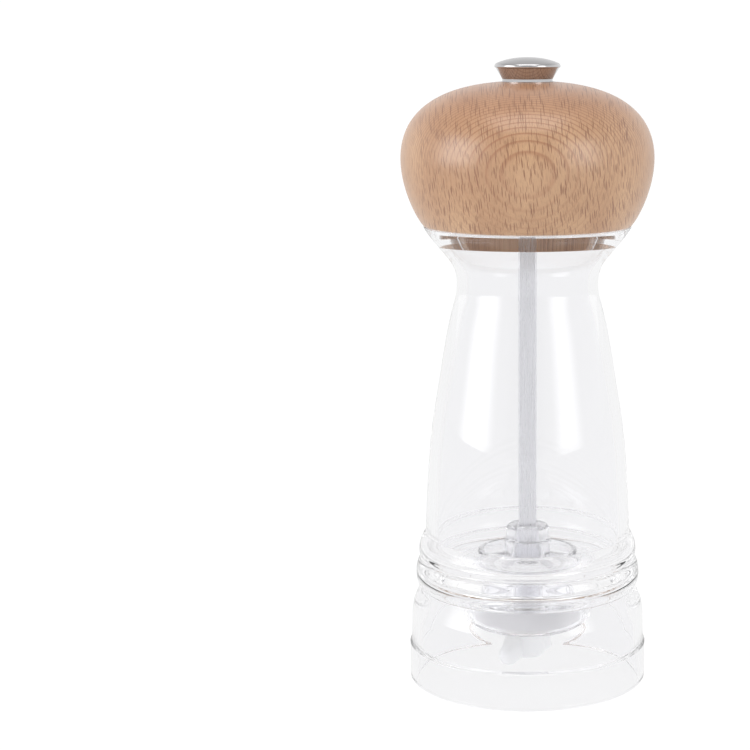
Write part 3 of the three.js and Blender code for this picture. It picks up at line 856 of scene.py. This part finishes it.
# one cross-slot screw is copied round the plate by geometry nodes
def circleTree():
    tree, given, out, keys = nodeTree("copiesOnCircle", [
        ("Geometry", "NodeSocketGeometry", None), ("Radius", "NodeSocketFloat", 0.01),
        ("Count", "NodeSocketInt", 3), ("Start", "NodeSocketFloat", 0.0),
        ("Material", "NodeSocketMaterial", None)])
    at = given.outputs
    ring = addNode(tree, "GeometryNodeMeshCircle", {"Vertices": at["Count"], "Radius": at["Radius"]})
    spin = addNode(tree, "ShaderNodeCombineXYZ", {"Z": at["Start"]})
    placed = addNode(tree, "GeometryNodeTransform", {"Geometry": ring.outputs[0], "Rotation": spin.outputs[0]})
    index = addNode(tree, "GeometryNodeInputIndex").outputs[0]
    seed = addNode(tree, "FunctionNodeRandomValue", {2: 0.0, 3: turn, "ID": index, "Seed": 4}, data_type="FLOAT")
    twist = addNode(tree, "ShaderNodeCombineXYZ", {"Z": seed.outputs[1]})
    copies = addNode(tree, "GeometryNodeInstanceOnPoints", {
        "Points": placed.outputs[0], "Instance": at["Geometry"], "Rotation": twist.outputs[0]})
    shadedOutput(tree, copies.outputs[0], at["Material"], out)
    return tree, keys


screwPath = outline([(0, 137.1), (1.5, 137.1), ((2.4, 137.3), (2.4, 138.2)), (1.3, 138.2)], corner=0.06,
                    closed=False)
screwPath = screwPath[:-1] + [Vector((1.3, 138.2 + i * 0.1)) for i in range(63)] + [
    Vector((1.0, 145.2)), Vector((0.5, 145.8)), Vector((0, 146.0))]
screw = lathe("plateScrews", screwPath, steel, segments=28, shape=threadShape(0.6, 0.2, 138.4, 144.6),
              sharpAngle=50)
carve(screw, [boxMesh("slot", (0, 0, 137.2), (0.55, 2.6, 0.9), a) for a in (0, 90)], "DIFFERENCE")
circle, circleKeys = circleTree()
runTree(screw, circle, circleKeys, {
    "Radius": headSizes["screwCircle"] * mm, "Count": 3,
    "Start": math.radians(headSizes["screwAngle"]), "Material": steel})
settle(screw, "head", "steel", "plate_screw_1", "plate_screw_2", "plate_screw_3")
print("head made")


# ---- knob on top

capWasher = washer("capWasher", *washerSizes["cap"], whitePlastic, corner=0.15)
settle(capWasher, "knob_washer", "white_plastic", "knob_washer")
capOutline = outline([
    (0, 172.4), (3.9, 172.4), (3.9, 167.5), (6.7, 167.5), (6.9, 167.7), (6.9, 168.6), (8.6, 171.5),
    ((9.15, 171.7), (9.2, 172.3), (8.6, 172.75)), ((6.4, 173.8), (3.4, 174.4), (0, 174.4))],
    corner=0.12, steps=20, closed=False)
capKnob = lathe("capKnob", capOutline, polishedSteel, segments=192)
settle(capKnob, "knob", "polished_steel", "top_knob")
capBush = lathe("capBush", outline([(2.3, 168.0), (3.6, 168.0), (3.6, 172.1), (2.3, 172.1)]), brass, 64)
settle(capBush, "knob", "brass", "knob_insert")
print("knob made")


# ---- studio

# the paper looks pure white to the camera and a little greyer through the glass
def floorMaterial():
    material = bpy.data.materials.new("paperSweep")
    material.use_nodes = True
    tree = material.node_tree
    shader = tree.nodes["Principled BSDF"]
    shader.inputs["Base Color"].default_value = (0.1, 0.1, 0.1, 1)
    shader.inputs["Roughness"].default_value = 0.6
    shader.inputs["Specular IOR Level"].default_value = 0.0
    shader.inputs["Emission Color"].default_value = (1, 1, 1, 1)
    seen = addNode(tree, "ShaderNodeLightPath").outputs["Is Camera Ray"]
    tree.links.new(mapRange(tree, seen, 0.0, 1.0, 0.84, 0.96), shader.inputs["Emission Strength"])
    # from below the paper is clear, so the underside can be looked at
    behind = addNode(tree, "ShaderNodeNewGeometry").outputs["Backfacing"]
    clear = addNode(tree, "ShaderNodeBsdfTransparent")
    mixed = addNode(tree, "ShaderNodeMixShader", {0: behind, 1: shader.outputs[0], 2: clear.outputs[0]})
    tree.links.new(mixed.outputs[0], tree.nodes["Material Output"].inputs["Surface"])
    return material


def softBox(name, spot, aim, size, power):
    light = bpy.data.lights.new(name, "AREA")
    light.shape, light.size, light.size_y = "RECTANGLE", size[0], size[1]
    light.energy = power
    lamp = bpy.data.objects.new(name, light)
    scene.collection.objects.link(lamp)
    lamp.location = spot
    lamp.rotation_euler = (Vector(aim) - Vector(spot)).to_track_quat("-Z", "Y").to_euler()


built = bmesh.new()
bmesh.ops.create_grid(built, x_segments=1, y_segments=1, size=4.0)
floorMesh = bpy.data.meshes.new("paperSweep")
built.to_mesh(floorMesh)
built.free()
floor = bpy.data.objects.new("paperSweep", floorMesh)
scene.collection.objects.link(floor)
floor.location.z = -0.0002
floorMesh.materials.append(floorMaterial())

studio = {"topBox": (0, -0.25, 0.95), "topAim": (0, 0, 0.1), "topSize": (0.7, 0.5), "topPower": 2.0,
          "lens": 93.17, "shift": (-0.2033, 0.012), "eye": (0, -0.5339, 0.1841), "lookDown": 10.6}
softBox("topBox", studio["topBox"], studio["topAim"], studio["topSize"], studio["topPower"])

# the camera meets white paper; all else meets a bright low sweep, a dim ceiling, two soft side
# lamps and a dark stretch where the camera stands
world = bpy.data.worlds.new("studio")
scene.world = world
world.use_nodes = True
tree = world.node_tree
tree.nodes.clear()
way = addNode(tree, "ShaderNodeSeparateXYZ", {0: addNode(tree, "ShaderNodeTexCoord").outputs["Generated"]})
aside = mathNode(tree, "ARCTAN2", way.outputs["X"], mathNode(tree, "MULTIPLY", way.outputs["Y"], -1.0))
fromFront = mathNode(tree, "ABSOLUTE", aside)
level = mapRange(tree, fromFront, math.radians(12), math.radians(34), 0.5, 0.9, smooth=True)
level = mathNode(tree, "ADD", level, mapRange(tree, fromFront, math.radians(60), math.radians(120), 0.0, 0.12))
ceiling = mapRange(tree, way.outputs["Z"], 0.25, 0.8, 1.0, 0.6, smooth=True)
level = mathNode(tree, "MULTIPLY", level, ceiling)
for centre, inner, outer, power in ((-67, 8, 28, 3.2), (52, 5, 22, 2.4)):
    off = mathNode(tree, "ABSOLUTE", mathNode(tree, "SUBTRACT", aside, math.radians(centre)))
    lamp = mapRange(tree, off, math.radians(inner), math.radians(outer), power, 0.0, smooth=True)
    tall = mapRange(tree, way.outputs["Z"], 0.4, 0.65, 1.0, 0.0, smooth=True)
    level = mathNode(tree, "ADD", level, mathNode(tree, "MULTIPLY", lamp, tall))
path = addNode(tree, "ShaderNodeLightPath").outputs
# rays bent inside the glass meet an evener, paler room
within = mathNode(tree, "MULTIPLY", mathNode(tree, "GREATER_THAN", path["Transmission Depth"], 0.5), 0.5)
even = mathNode(tree, "MULTIPLY", mathNode(tree, "SUBTRACT", 0.95, level), within)
level = mathNode(tree, "ADD", level, even)
strength = mathNode(tree, "MAXIMUM", path["Is Camera Ray"], level)
sky = addNode(tree, "ShaderNodeBackground", {"Color": (1, 1, 1, 1), "Strength": strength})
end = addNode(tree, "ShaderNodeOutputWorld")
tree.links.new(sky.outputs[0], end.inputs["Surface"])

lens = bpy.data.cameras.new("photoView")
lens.sensor_width, lens.lens = 36.0, studio["lens"]
lens.shift_x, lens.shift_y = studio["shift"]
lens.clip_start, lens.clip_end = 0.01, 20
camera = bpy.data.objects.new("photoView", lens)
scene.collection.objects.link(camera)
camera.location = studio["eye"]
camera.rotation_euler = (math.radians(90 - studio["lookDown"]), 0, 0)
scene.camera = camera

scene.view_settings.view_transform = "Standard"
scene.cycles.max_bounces = 48
scene.cycles.transmission_bounces = 32
scene.cycles.glossy_bounces = 48
scene.cycles.diffuse_bounces = 4
scene.cycles.transparent_max_bounces = 16
scene.cycles.blur_glossy = 0.6
scene.cycles.sample_clamp_indirect = 8.0
print("studio made")
